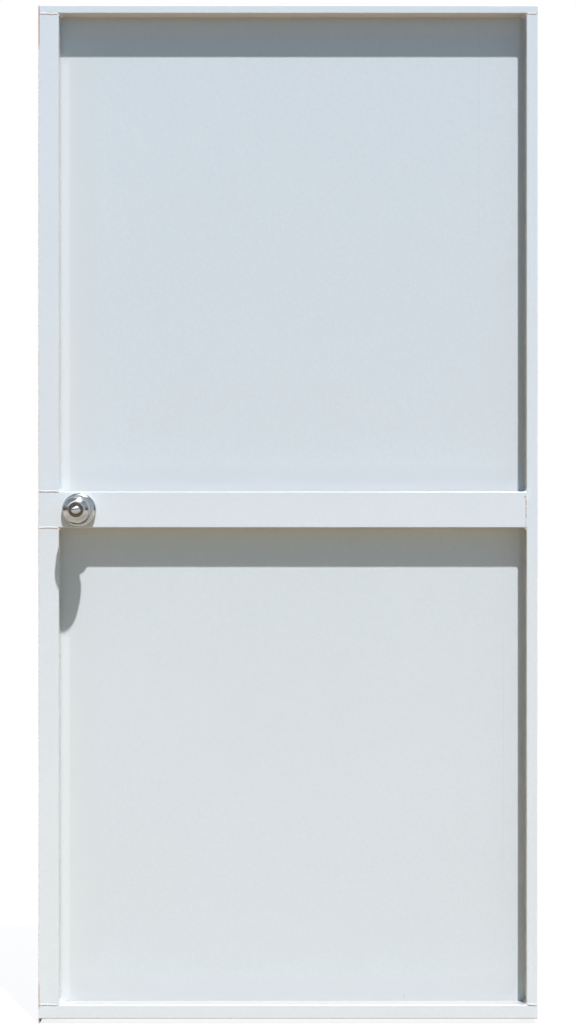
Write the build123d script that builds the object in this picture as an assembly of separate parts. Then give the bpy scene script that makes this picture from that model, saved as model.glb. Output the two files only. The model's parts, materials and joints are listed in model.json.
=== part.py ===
from build123d import *
import math
import os

os.makedirs("parts", exist_ok=True)

# Leaf: outline, depth and the faces of its welded border, read from the front view.
leaf_left = -500.0
leaf_right = 500.0
leaf_bottom = 10.0
leaf_top = 2040.0
leaf_front = -20.0
leaf_back = 20.0
leaf_middle = (leaf_bottom + leaf_top) / 2
skin_thick = 1.2
top_rail_height = 16.6
bottom_rail_height = 28.0
hinge_stile_width = 22.5
lock_stile_width = 35.0
overlap_width = 6.0
overlap_thick = 3.0
body_left = leaf_left + overlap_width
tube_wall = 1.5
tube_radius = 2.0
tube_inner_radius = tube_radius - tube_wall
lock_end_wall = 4.0

# Lockset axis, and the lock rail around it.
backset = 76.0
knob_x = body_left + backset
knob_z = 1029.2
lock_rail_below = 35.7
lock_rail_above = 36.8
lock_rail_bottom = knob_z - lock_rail_below
lock_rail_top = knob_z + lock_rail_above

# Frame: folded angles behind the leaf's edge, and a lip bar on the latch side that the leaf's overlap covers.
frame_sheet = 2.5
fold_radius = 4.0
fold_inner_radius = fold_radius - frame_sheet
frame_gap = 11.6
frame_face = leaf_back + frame_gap
frame_leg = 50.0
frame_foot = 0.0
frame_top = leaf_top
hinge_edge_inset = 1.0
hinge_flange_edge = leaf_right - hinge_edge_inset
hinge_flange_width = 40.0
latch_edge_reach = 3.5
latch_flange_edge = leaf_left - latch_edge_reach
latch_flange_width = 37.5
lip_clearance = 0.4
lip_outer = leaf_left
lip_front = leaf_front + overlap_thick + lip_clearance
head_height = 40.0
fixing_hole_radius = 4.5
fixing_hinge_inset = 12.5
fixing_latch_inset = 17.0
fixing_end_inset = 90.0
fixing_spacing = 520.0
fixing_outer = leaf_top - leaf_middle - fixing_end_inset
fixing_inner = fixing_outer - fixing_spacing
fixing_reaches = (-fixing_outer, -fixing_inner, fixing_inner, fixing_outer)
seal_width = 8.0
seal_hinge_inset = 5.0
seal_latch_inset = 10.0
seal_head_inset = 8.0
seal_foot_gap = 2.0
seal_clearance = 0.4

# Butt hinges in the gap between leaf and frame.
hinge_axis_inset = 2.0
hinge_axis_x = leaf_right - hinge_axis_inset
hinge_axis_y = leaf_back + frame_gap / 2
hinge_from_end = 220.0
hinge_heights = {
    "bottom": leaf_bottom + hinge_from_end,
    "middle": leaf_middle,
    "top": leaf_top - hinge_from_end,
}
hinge_length = 100.0
hinge_plate_thick = 2.5
hinge_plate_width = 24.0
barrel_side_gap = 0.3
barrel_radius = frame_gap / 2 - barrel_side_gap
barrel_clearance = 0.4
knuckle_count = 5
knuckle_gap = 0.3
pin_radius = 3.0
pin_clearance = 0.05
pin_cap_radius = 4.6
pin_cap_height = 2.0
hinge_screw_inset = 14.0
hinge_screw_offset = 36.0
hinge_screw_radius = 2.4
hinge_screw_length = 9.0
hinge_head_radius = 4.2
hinge_head_height = 1.8
screw_clearance = 0.05

# Outer pieces of the lockset; heights are counted outwards from the leaf's face.
rose_radius = 34.0
rose_wall = 1.4
rose_edge = 6.0
rose_collar = 13.4
rose_height = 14.4
rose_dome_shares = ((0.98, 0.61), (0.9, 0.78), (0.735, 0.89))
rose_inner_dome_shares = ((0.979, 0.631), (0.902, 0.769), (0.755, 0.869))
neck_radius = 12.5
rose_bore_gap = 0.7
rose_bore = neck_radius + rose_bore_gap
rose_collar_width = 3.4
rose_collar_radius = rose_bore + rose_collar_width
neck_start = 6.0
neck_clear = 2.1
neck_end = rose_height + neck_clear
knob_radius = 29.0
knob_face = 72.0
knob_wall = 1.8
knob_swell_shares = ((0.52, 0.285), (0.74, 0.385), (0.94, 0.5), (1.0, 0.61))
knob_crown_shares = ((0.975, 0.765), (0.885, 0.89), (0.71, 0.967))
hollow_radius = knob_radius - knob_wall
hollow_shares = ((0.485, 0.3), (0.72, 0.397), (0.934, 0.511), (1.0, 0.617), (0.97, 0.764), (0.897, 0.861))
hollow_top_share = 0.8
ring_radius = 14.5
ring_lip = 0.8
ring_depth = 4.0
knob_floor = knob_face - ring_depth
button_gap = 0.3
button_seat_radius = 8.0
button_lift = 1.1
button_foot = knob_floor + button_lift
button_stand = 2.0
projection = knob_face + button_stand
button_half_length = 10.6
button_half_height = 8.6
button_rise = projection - button_foot
plug_radius = 8.8
plug_bevel = 0.8
keyway_width = 1.8
keyway_length = 9.0
keyway_depth = 3.0
plate_margin = 4.5
plate_radius = rose_radius - plate_margin
plate_thick = 2.0
plate_bore = 7.0
cross_bore_radius = 27.0
through_screw_offset = 22.0
through_screw_radius = 2.5
through_head_radius = 4.5
through_head_height = 2.6

# Latch in the lock rail's end.
bolt_throw = 6.0
bolt_tip = body_left - bolt_throw
bolt_inside = 12.0
bolt_rear = body_left + bolt_inside
bolt_half_depth = 5.6
bolt_half_height = 8.0
bolt_clearance = 0.4
bolt_bevel = 5.5
bolt_nose = 2.2
riser_length = 4.0
tail_half_width = 2.0
strap_low = 11.3
strap_high = 13.5
tab_low = 7.6
tab_length = 3.0
tab_clearance = 0.3
case_past_axis = 16.0
case_end = knob_x + case_past_axis
case_wall = 1.5
case_half_depth = bolt_half_depth + bolt_clearance + case_wall
case_half_height = 16.2
case_stop_before = 22.0
case_stop_x = knob_x - case_stop_before
case_stop_top = 10.4
case_hole = 5.4
case_gap = 0.3
faceplate_thick = 2.5
faceplate_half_depth = 13.0
faceplate_margin = 3.7
faceplate_half_height = lock_rail_below - faceplate_margin
faceplate_corner = 4.0
faceplate_gap = 0.2
faceplate_screw_inset = 6.0
faceplate_screw_radius = 2.0
faceplate_screw_length = 8.0
faceplate_head_radius = 3.8
faceplate_head_height = 1.8
spring_radius = 4.2
spring_wire = 0.55
spring_turns = 8
spring_gap = 0.1

# Spindle, lock rod and hub on the knob axis; the finger swings from this lean to the same lean past upright.
spindle_radius = 5.0
spindle_bore = 3.05
spindle_short = 8.0
spindle_end = knob_floor - spindle_short
press_clearance = 0.02
rod_radius = 3.0
hub_radius = 6.8
hub_side_gap = 0.5
hub_half_width = bolt_half_depth + bolt_clearance - hub_side_gap
finger_lean = 22.5
finger_radius = bolt_throw / 2 / math.sin(math.radians(finger_lean))
finger_tip = 1.5
finger_bar = 1.0
finger_half_width = 2.0

# Strike on the lip bar.
strike_thick = 1.5
strike_half_depth = 14.0
strike_half_height = 30.0
strike_corner = 3.0
slot_half_depth = 6.8
slot_half_height = 9.5
strike_screw_offset = 22.0
strike_screw_radius = 1.9
strike_screw_length = strike_thick + frame_sheet
strike_head_radius = 3.1
strike_head_height = 1.2


def block(x0, x1, y0, y1, z0, z1):
    size = Box(x1 - x0, y1 - y0, z1 - z0)
    return Pos((x0 + x1) / 2, (y0 + y1) / 2, (z0 + z1) / 2) * size


def rod_y(radius, x, y0, y1, z):
    return Pos(x, (y0 + y1) / 2, z) * Rot(90, 0, 0) * Cylinder(radius, y1 - y0)


def rod_z(radius, x, y, z0, z1):
    return Pos(x, y, (z0 + z1) / 2) * Cylinder(radius, z1 - z0)


def screw(radius, length, head_radius, head_height):
    # Countersunk: the head's flat top is at zero and the shank runs down.
    profile = Polyline(
        (0, 0),
        (head_radius, 0),
        (radius, -head_height),
        (radius, -length),
        (0, -length),
        close=True,
    )
    return revolve(Plane.XZ * make_face(profile), Axis.Z)


def rounded_along(solid, axis, places, radius):
    # Rounds the edges that run along the axis through the given places across it.
    chosen = []
    for edge in solid.edges().filter_by(axis):
        middle = edge.center()
        flat = (middle.X, middle.Y) if axis == Axis.Z else (middle.Y, middle.Z)
        for place in places:
            if math.dist(flat, place) < frame_sheet / 10:
                chosen.append(edge)
    return fillet(chosen, radius)


def tube_x(x0, x1, z0, z1, left_wall, right_wall):
    # Rectangular tube along the width, from the leaf's front to the skin, with the stated end walls.
    depth = leaf_back - skin_thick - leaf_front
    middle = (leaf_front + leaf_back - skin_thick) / 2
    outer = extrude(Plane.YZ * RectangleRounded(depth, z1 - z0, tube_radius), x1 - x0)
    core = RectangleRounded(depth - 2 * tube_wall, z1 - z0 - 2 * tube_wall, tube_inner_radius)
    inner = extrude(Plane.YZ * core, x1 - x0 - left_wall - right_wall)
    shell = Pos(x0, middle, (z0 + z1) / 2) * outer
    return shell - Pos(x0 + left_wall, middle, (z0 + z1) / 2) * inner


def tube_z(x0, x1, z0, z1, overlap):
    # Upright tube; its front wall runs on to the left by the overlap, as on a profile tube with a stop.
    depth = leaf_back - skin_thick - leaf_front
    middle = (leaf_front + leaf_back - skin_thick) / 2
    profile = Pos((x0 + x1) / 2, middle) * RectangleRounded(x1 - x0, depth, tube_radius)
    if overlap:
        width = overlap + tube_radius
        stop = Rectangle(width, overlap_thick)
        profile = profile + Pos(x0 - overlap + width / 2, leaf_front + overlap_thick / 2) * stop
    core = RectangleRounded(x1 - x0 - 2 * tube_wall, depth - 2 * tube_wall, tube_inner_radius)
    profile = profile - Pos((x0 + x1) / 2, middle) * core
    return Pos(0, 0, z0) * extrude(profile, z1 - z0)


def overlap_x(z0, z1):
    # The same stop on a rail's left end, with the rail's own rounded front edges.
    depth = leaf_back - skin_thick - leaf_front
    middle = (leaf_front + leaf_back - skin_thick) / 2
    bar = extrude(Plane.YZ * RectangleRounded(depth, z1 - z0, tube_radius), overlap_width)
    bar = Pos(leaf_left, middle, (z0 + z1) / 2) * bar
    return bar & block(leaf_left, body_left, leaf_front, leaf_front + overlap_thick, z0, z1)


def outwards(shape, face, sign):
    # Carries a piece built up along +Z to the leaf's face, pointing out of it.
    turn = Rot(90, 0, 0) if sign < 0 else Rot(-90, 0, 0)
    return Pos(knob_x, face, knob_z) * turn * shape


pieces = {}

# The single skin, with the lockset's bore.
skin = block(body_left, leaf_right, leaf_back - skin_thick, leaf_back, leaf_bottom, leaf_top)
cross_bore = rod_y(cross_bore_radius, knob_x, leaf_front - plate_thick, leaf_back + plate_thick, knob_z)
skin = skin - cross_bore

# Border of the leaf: the rails run through, the stiles butt between them.
under_top = leaf_top - top_rail_height
over_bottom = leaf_bottom + bottom_rail_height
hinge_stile_inner = leaf_right - hinge_stile_width
lock_stile_inner = body_left + lock_stile_width
top_rail = tube_x(body_left, leaf_right, under_top, leaf_top, tube_wall, tube_wall)
top_rail = top_rail + overlap_x(under_top, leaf_top)
bottom_rail = tube_x(body_left, leaf_right, leaf_bottom, over_bottom, tube_wall, tube_wall)
bottom_rail = bottom_rail + overlap_x(leaf_bottom, over_bottom)
hinge_stile = tube_z(hinge_stile_inner, leaf_right, over_bottom, under_top, 0)
lock_stile_upper = tube_z(body_left, lock_stile_inner, lock_rail_top, under_top, overlap_width)
lock_stile_lower = tube_z(body_left, lock_stile_inner, over_bottom, lock_rail_bottom, overlap_width)
lock_rail = tube_x(body_left, hinge_stile_inner, lock_rail_bottom, lock_rail_top, lock_end_wall, 0)
lock_rail = lock_rail + overlap_x(lock_rail_bottom, lock_rail_top)
lock_rail = lock_rail - cross_bore

# Latch faceplate, let into the lock rail's end wall.
plate_back = body_left + faceplate_thick
outline = RectangleRounded(2 * faceplate_half_depth, 2 * faceplate_half_height, faceplate_corner)
faceplate = Pos(body_left, 0, knob_z) * extrude(Plane.YZ * outline, faceplate_thick)
bolt_window_depth = bolt_half_depth + bolt_clearance
bolt_window_height = bolt_half_height + bolt_clearance
faceplate = faceplate - block(
    body_left,
    plate_back,
    -bolt_window_depth,
    bolt_window_depth,
    knob_z - bolt_window_height,
    knob_z + bolt_window_height,
)
pocket_outline = RectangleRounded(
    2 * (faceplate_half_depth + faceplate_gap),
    2 * (faceplate_half_height + faceplate_gap),
    faceplate_corner + faceplate_gap,
)
lock_rail = lock_rail - Pos(body_left, 0, knob_z) * extrude(Plane.YZ * pocket_outline, faceplate_thick)
lock_rail = lock_rail - block(
    body_left,
    body_left + lock_end_wall,
    -case_half_depth - case_gap,
    case_half_depth + case_gap,
    knob_z - case_half_height - case_gap,
    knob_z + case_half_height + case_gap,
)
faceplate_screw = screw(
    faceplate_screw_radius, faceplate_screw_length, faceplate_head_radius, faceplate_head_height
)
faceplate_hole = screw(
    faceplate_screw_radius + screw_clearance,
    faceplate_screw_length,
    faceplate_head_radius + screw_clearance,
    faceplate_head_height,
)
faceplate_screws = []
faceplate_screw_offset = faceplate_half_height - faceplate_screw_inset
for side in (-1, 1):
    seat = Pos(body_left, 0, knob_z + side * faceplate_screw_offset) * Rot(0, -90, 0)
    faceplate = faceplate - seat * faceplate_hole
    lock_rail = lock_rail - seat * faceplate_hole
    faceplate_screws.append(seat * faceplate_screw)

# Latch case: a box from the faceplate to past the knob's axis, with the spring's stop inside.
case_inner_depth = case_half_depth - case_wall
case_inner_height = case_half_height - case_wall
latch_case = block(
    plate_back,
    case_end,
    -case_half_depth,
    case_half_depth,
    knob_z - case_half_height,
    knob_z + case_half_height,
)
latch_case = latch_case - block(
    plate_back,
    case_end - case_wall,
    -case_inner_depth,
    case_inner_depth,
    knob_z - case_inner_height,
    knob_z + case_inner_height,
)
latch_case = latch_case + block(
    case_stop_x,
    case_stop_x + case_wall,
    -case_inner_depth,
    case_inner_depth,
    knob_z - case_inner_height,
    knob_z + case_stop_top,
)
latch_case = latch_case - rod_y(case_hole, knob_x, -case_half_depth, case_half_depth, knob_z)

# Latch bolt: bevelled head, riser, strap over the hub and the tab that the finger pushes.
finger_start = finger_radius * math.sin(math.radians(finger_lean))
tab_x = knob_x - finger_start + finger_tip + tab_clearance
latch_bolt = block(
    bolt_tip,
    bolt_rear,
    -bolt_half_depth,
    bolt_half_depth,
    knob_z - bolt_half_height,
    knob_z + bolt_half_height,
)
nose = Polyline(
    (bolt_tip, -bolt_half_depth + bolt_nose),
    (bolt_tip, bolt_half_depth),
    (bolt_tip + bolt_bevel, bolt_half_depth),
    close=True,
)
bevel = extrude(make_face(nose), 2 * bolt_half_height)
latch_bolt = latch_bolt - Pos(0, 0, knob_z - bolt_half_height) * bevel
latch_bolt = latch_bolt + block(
    bolt_rear,
    bolt_rear + riser_length,
    -bolt_half_depth,
    bolt_half_depth,
    knob_z - bolt_half_height,
    knob_z + strap_high,
)
latch_bolt = latch_bolt + block(
    bolt_rear, tab_x + tab_length, -tail_half_width, tail_half_width, knob_z + strap_low, knob_z + strap_high
)
latch_bolt = latch_bolt + block(
    tab_x, tab_x + tab_length, -tail_half_width, tail_half_width, knob_z + tab_low, knob_z + strap_high
)

# Latch spring between the bolt's riser and the case's stop.
spring_start = bolt_rear + riser_length + spring_wire + spring_gap
spring_stop = case_stop_x - spring_wire - spring_gap
spring_length = spring_stop - spring_start
coil = Helix(spring_length / spring_turns, spring_length, spring_radius)
wire_plane = Plane(origin=coil @ 0, z_dir=coil % 0)
latch_spring = sweep(wire_plane * Circle(spring_wire), coil)
latch_spring = Pos(spring_start, 0, knob_z) * Rot(0, 90, 0) * latch_spring

# Hub and finger on the spindle.
finger = Pos(0, 0, finger_radius / 2) * Box(2 * finger_bar, 2 * finger_half_width, finger_radius)
finger = finger + Pos(0, 0, finger_radius) * Rot(90, 0, 0) * Cylinder(finger_tip, 2 * finger_half_width)
hub = Rot(90, 0, 0) * Cylinder(hub_radius, 2 * hub_half_width)
hub = hub + Rot(0, -finger_lean, 0) * finger
hub = hub - Rot(90, 0, 0) * Cylinder(spindle_radius + press_clearance, 2 * hub_half_width)
latch_hub = Pos(knob_x, 0, knob_z) * hub

spindle_front = leaf_front - spindle_end
spindle_back = leaf_back + spindle_end
spindle = rod_y(spindle_radius, knob_x, spindle_front, spindle_back, knob_z)
spindle = spindle - rod_y(spindle_bore, knob_x, spindle_front, spindle_back, knob_z)
button_seat = knob_floor + button_gap
lock_rod = rod_y(rod_radius, knob_x, leaf_front - button_seat, leaf_back + button_seat, knob_z)

# Knob: spun shell with a neck, a sleeve around the spindle and a sunk ring in its face.
sleeve_bore = spindle_radius + press_clearance
knob_swell = [(r * knob_radius, h * knob_face) for r, h in knob_swell_shares]
knob_crown = [(r * knob_radius, h * knob_face) for r, h in knob_crown_shares]
hollow_profile = [(r * hollow_radius, h * knob_face) for r, h in hollow_shares]
hollow_top_radius = hollow_top_share * hollow_radius
outline_lines = Curve() + [
    Line((sleeve_bore, neck_start), (neck_radius, neck_start)),
    Line((neck_radius, neck_start), (neck_radius, neck_end)),
    Spline(
        (neck_radius, neck_end),
        *knob_swell,
        *knob_crown,
        (ring_radius + ring_lip, knob_face),
        tangents=((0, 1), (-1, 0)),
    ),
    Line((ring_radius + ring_lip, knob_face), (ring_radius, knob_face - ring_lip)),
    Line((ring_radius, knob_face - ring_lip), (ring_radius, knob_floor)),
    Line((ring_radius, knob_floor), (spindle_bore, knob_floor)),
    Line((spindle_bore, knob_floor), (spindle_bore, spindle_end)),
    Line((spindle_bore, spindle_end), (sleeve_bore, spindle_end)),
    Line((sleeve_bore, spindle_end), (sleeve_bore, neck_start)),
]
knob_section = make_face(outline_lines)
sleeve_outer = sleeve_bore + knob_wall
hollow_neck = neck_radius - knob_wall
hollow_low = neck_start + knob_wall
hollow_high = knob_floor - knob_wall
hollow_lines = Curve() + [
    Line((sleeve_outer, hollow_low), (hollow_neck, hollow_low)),
    Line((hollow_neck, hollow_low), (hollow_neck, neck_end)),
    Spline((hollow_neck, neck_end), *hollow_profile, (hollow_top_radius, hollow_high)),
    Line((hollow_top_radius, hollow_high), (sleeve_outer, hollow_high)),
    Line((sleeve_outer, hollow_high), (sleeve_outer, hollow_low)),
]
knob_hollow = make_face(hollow_lines)
knob = revolve(Plane.XZ * knob_section, Axis.Z) - revolve(Plane.XZ * knob_hollow, Axis.Z)

# Rose: a thin domed cup that covers the mounting plate, with a raised collar around the neck.
rose_inner_radius = rose_radius - rose_wall
rose_inner_height = rose_height - rose_wall
rose_dome = [(r * rose_radius, h * rose_height) for r, h in rose_dome_shares]
rose_inner_dome = [(r * rose_inner_radius, h * rose_inner_height) for r, h in rose_inner_dome_shares]
rose_lines = Curve() + [
    Line((rose_bore, rose_collar - rose_wall), (rose_bore, rose_height)),
    Line((rose_bore, rose_height), (rose_collar_radius - rose_wall, rose_height)),
    Line((rose_collar_radius - rose_wall, rose_height), (rose_collar_radius, rose_collar)),
    Spline((rose_collar_radius, rose_collar), *rose_dome[::-1], (rose_radius, rose_edge)),
    Line((rose_radius, rose_edge), (rose_radius, 0)),
    Line((rose_radius, 0), (rose_inner_radius, 0)),
    Line((rose_inner_radius, 0), (rose_inner_radius, rose_edge)),
    Spline((rose_inner_radius, rose_edge), *rose_inner_dome, (rose_bore, rose_collar - rose_wall)),
]
rose = revolve(Plane.XZ * make_face(rose_lines), Axis.Z)

# Turn button with an oval domed grip, and the key plug with its keyway.
button_neck = Cylinder(button_seat_radius, button_foot - button_seat)
button_neck = Pos(0, 0, (button_seat + button_foot) / 2) * button_neck
dome = Sphere(button_half_length, 0, 90, align=(Align.CENTER, Align.CENTER, Align.MIN))
grip = scale(dome, by=(1, button_half_height / button_half_length, button_rise / button_half_length))
turn_button = button_neck + Pos(0, 0, button_foot) * grip
plug = Pos(0, 0, (button_seat + projection) / 2) * Cylinder(plug_radius, projection - button_seat)
plug = chamfer(plug.faces().sort_by(Axis.Z)[-1].edges(), plug_bevel)
keyway = Pos(0, 0, projection - keyway_depth / 2) * Box(keyway_width, keyway_length, keyway_depth)
key_plug = plug - keyway

# Mounting plates and the two screws that clamp them through the leaf.
plate_depth = leaf_back - leaf_front + 2 * plate_thick
plate = Pos(0, 0, plate_thick / 2) * (Cylinder(plate_radius, plate_thick) - Cylinder(plate_bore, plate_thick))
through_screws = []
for side in (-1, 1):
    spot = Pos(0, side * through_screw_offset, plate_thick / 2)
    plate = plate - spot * Cylinder(through_screw_radius + screw_clearance, plate_thick)
    height = knob_z + side * through_screw_offset
    start = leaf_front - plate_thick
    shank = rod_y(through_screw_radius, knob_x, start, start + plate_depth, height)
    head_start = leaf_back + plate_thick
    head = rod_y(through_head_radius, knob_x, head_start, head_start + through_head_height, height)
    through_screws.append(shank + head)

pieces["front_knob"] = outwards(knob, leaf_front, -1)
pieces["back_knob"] = outwards(knob, leaf_back, 1)
pieces["front_rose"] = outwards(rose, leaf_front, -1)
pieces["back_rose"] = outwards(rose, leaf_back, 1)
pieces["turn_button"] = outwards(turn_button, leaf_front, -1)
pieces["key_plug"] = outwards(key_plug, leaf_back, 1)
pieces["front_plate"] = outwards(plate, leaf_front, -1)
pieces["back_plate"] = outwards(plate, leaf_back, 1)
pieces["through_screws"] = Compound(children=through_screws)
pieces["spindle"] = spindle
pieces["lock_rod"] = lock_rod
pieces["latch_hub"] = latch_hub
pieces["latch_bolt"] = latch_bolt
pieces["latch_spring"] = latch_spring
pieces["latch_case"] = latch_case
pieces["latch_faceplate"] = faceplate
pieces["faceplate_screws"] = Compound(children=faceplate_screws)

# Frame members.
frame_back = frame_face + frame_sheet
leg_back = frame_face + frame_leg
hinge_leg = hinge_flange_edge - hinge_flange_width
latch_leg = latch_flange_edge + latch_flange_width
lip_inner = lip_outer + frame_sheet
hinge_jamb = block(hinge_leg, hinge_flange_edge, frame_face, frame_back, frame_foot, frame_top)
hinge_reveal = hinge_leg + frame_sheet
hinge_jamb = hinge_jamb + block(hinge_leg, hinge_reveal, frame_face, leg_back, frame_foot, frame_top)
hinge_jamb = rounded_along(hinge_jamb, Axis.Z, [(hinge_leg, frame_face)], fold_radius)
hinge_jamb = rounded_along(hinge_jamb, Axis.Z, [(hinge_reveal, frame_back)], fold_inner_radius)
latch_jamb = block(latch_flange_edge, latch_leg, frame_face, frame_back, frame_foot, frame_top)
latch_reveal = latch_leg - frame_sheet
latch_jamb = latch_jamb + block(latch_reveal, latch_leg, frame_face, leg_back, frame_foot, frame_top)
latch_jamb = rounded_along(latch_jamb, Axis.Z, [(latch_leg, frame_face)], fold_radius)
latch_jamb = rounded_along(latch_jamb, Axis.Z, [(latch_reveal, frame_back)], fold_inner_radius)
latch_lip = block(lip_outer, lip_inner, lip_front, frame_face, frame_foot, frame_top)
head_low = frame_top - head_height
frame_head = block(latch_leg, hinge_leg, frame_face, frame_back, head_low, frame_top)
frame_head = frame_head + block(latch_leg, hinge_leg, frame_face, leg_back, head_low, head_low + frame_sheet)
frame_head = rounded_along(frame_head, Axis.X, [(frame_face, head_low)], fold_radius)
frame_head = rounded_along(frame_head, Axis.X, [(frame_back, head_low + frame_sheet)], fold_inner_radius)
fixing_hinge_x = hinge_flange_edge - fixing_hinge_inset
fixing_latch_x = latch_flange_edge + fixing_latch_inset
for reach in fixing_reaches:
    height = leaf_middle + reach
    hinge_jamb = hinge_jamb - rod_y(fixing_hole_radius, fixing_hinge_x, frame_face, frame_back, height)
    latch_jamb = latch_jamb - rod_y(fixing_hole_radius, fixing_latch_x, frame_face, frame_back, height)

# Strike slot in the lip bar and the plate over it.
slot_low = knob_z - slot_half_height
slot_high = knob_z + slot_half_height
strike_inner = lip_inner + strike_thick
slot = block(lip_outer, strike_inner, -slot_half_depth, slot_half_depth, slot_low, slot_high)
latch_lip = latch_lip - slot
strike_outline = RectangleRounded(2 * strike_half_depth, 2 * strike_half_height, strike_corner)
strike_plate = Pos(lip_inner, 0, knob_z) * extrude(Plane.YZ * strike_outline, strike_thick) - slot
strike_screw = screw(strike_screw_radius, strike_screw_length, strike_head_radius, strike_head_height)
strike_hole = screw(
    strike_screw_radius + screw_clearance,
    strike_screw_length,
    strike_head_radius + screw_clearance,
    strike_head_height,
)
strike_screws = []
for side in (-1, 1):
    seat = Pos(strike_inner, 0, knob_z + side * strike_screw_offset) * Rot(0, 90, 0)
    strike_plate = strike_plate - seat * strike_hole
    latch_lip = latch_lip - seat * strike_hole
    strike_screws.append(seat * strike_screw)

# Seal: a strip with a round nose on each frame member, just clear of the skin.
seal_depth = frame_face - leaf_back - seal_clearance
seal_round = seal_width / 2
seal_flat = seal_depth - seal_round


def seal(length):
    # Runs along +Z with its flat back at y zero and its nose towards the leaf.
    strip = Pos(0, -seal_flat / 2) * Rectangle(seal_width, seal_flat)
    strip = strip + Pos(0, -seal_flat) * Circle(seal_round)
    return extrude(strip, length)


seal_hinge_x = hinge_leg + seal_hinge_inset
seal_latch_x = latch_leg - seal_latch_inset
seal_head_z = head_low + seal_head_inset
seal_foot = leaf_bottom + seal_foot_gap
seal_under = seal_head_z - seal_round
seal_rise = seal_under - seal_foot
seal_run = seal_hinge_x - seal_latch_x + seal_width
hinge_seal = Pos(seal_hinge_x, frame_face, seal_foot) * seal(seal_rise)
latch_seal = Pos(seal_latch_x, frame_face, seal_foot) * seal(seal_rise)
head_seal = Pos(seal_latch_x - seal_round, frame_face, seal_head_z) * Rot(0, 90, 0) * seal(seal_run)

# Hinges: the frame leaf has the outer and middle knuckles, the door leaf the two between.
knuckle = hinge_length / knuckle_count
hinge_screw = screw(hinge_screw_radius, hinge_screw_length, hinge_head_radius, hinge_head_height)
hinge_hole = screw(
    hinge_screw_radius + screw_clearance,
    hinge_screw_length,
    hinge_head_radius + screw_clearance,
    hinge_head_height,
)
hinge_plate_inner = hinge_axis_x - hinge_plate_width
hinge_screw_x = hinge_axis_x - hinge_screw_inset
door_plate_back = leaf_back + hinge_plate_thick
frame_plate_front = frame_face - hinge_plate_thick
door_screws = []
frame_screws = []
for place, centre in hinge_heights.items():
    low = centre - hinge_length / 2
    high = centre + hinge_length / 2
    door_leaf = block(hinge_plate_inner, hinge_axis_x, leaf_back, door_plate_back, low, high)
    frame_leaf = block(hinge_plate_inner, hinge_axis_x, frame_plate_front, frame_face, low, high)
    for index in range(knuckle_count):
        start = low + index * knuckle
        end = start + knuckle
        short_start = start + (knuckle_gap / 2 if index else 0)
        short_end = end - (knuckle_gap / 2 if index < knuckle_count - 1 else 0)
        barrel = rod_z(barrel_radius, hinge_axis_x, hinge_axis_y, short_start, short_end)
        long_start = start - (knuckle_gap / 2)
        long_end = end + (knuckle_gap / 2)
        relief = rod_z(barrel_radius + barrel_clearance, hinge_axis_x, hinge_axis_y, long_start, long_end)
        if index % 2:
            frame_leaf = frame_leaf - relief
            door_leaf = door_leaf + barrel
        else:
            door_leaf = door_leaf - relief
            frame_leaf = frame_leaf + barrel
    bore = rod_z(pin_radius + pin_clearance, hinge_axis_x, hinge_axis_y, low, high)
    door_leaf = door_leaf - bore
    frame_leaf = frame_leaf - bore
    pin = rod_z(pin_radius, hinge_axis_x, hinge_axis_y, low, high)
    pin = pin + rod_z(pin_cap_radius, hinge_axis_x, hinge_axis_y, high, high + pin_cap_height)
    pin = pin + rod_z(pin_cap_radius, hinge_axis_x, hinge_axis_y, low - pin_cap_height, low)
    for step in (-1, 0, 1):
        height = centre + step * hinge_screw_offset
        door_seat = Pos(hinge_screw_x, door_plate_back, height) * Rot(-90, 0, 0)
        frame_seat = Pos(hinge_screw_x, frame_plate_front, height) * Rot(90, 0, 0)
        door_leaf = door_leaf - door_seat * hinge_hole
        frame_leaf = frame_leaf - frame_seat * hinge_hole
        skin = skin - door_seat * hinge_hole
        hinge_stile = hinge_stile - door_seat * hinge_hole
        hinge_jamb = hinge_jamb - frame_seat * hinge_hole
        door_screws.append(door_seat * hinge_screw)
        frame_screws.append(frame_seat * hinge_screw)
    pieces["hinge_door_leaf_" + place] = door_leaf
    pieces["hinge_frame_leaf_" + place] = frame_leaf
    pieces["hinge_pin_" + place] = pin

pieces["hinge_door_screws"] = Compound(children=door_screws)
pieces["hinge_frame_screws"] = Compound(children=frame_screws)
pieces["skin_panel"] = skin
pieces["top_rail"] = top_rail
pieces["bottom_rail"] = bottom_rail
pieces["hinge_stile"] = hinge_stile
pieces["lock_stile_upper"] = lock_stile_upper
pieces["lock_stile_lower"] = lock_stile_lower
pieces["lock_rail"] = lock_rail
pieces["frame_hinge_jamb"] = hinge_jamb
pieces["frame_latch_jamb"] = latch_jamb
pieces["frame_latch_lip"] = latch_lip
pieces["frame_head"] = frame_head
pieces["frame_seal"] = Compound(children=[hinge_seal, latch_seal, head_seal])
pieces["strike_plate"] = strike_plate
pieces["strike_screws"] = Compound(children=strike_screws)

for node, shape in pieces.items():
    export_step(shape, "parts/" + node + ".step")
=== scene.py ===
import json
import math

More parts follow.
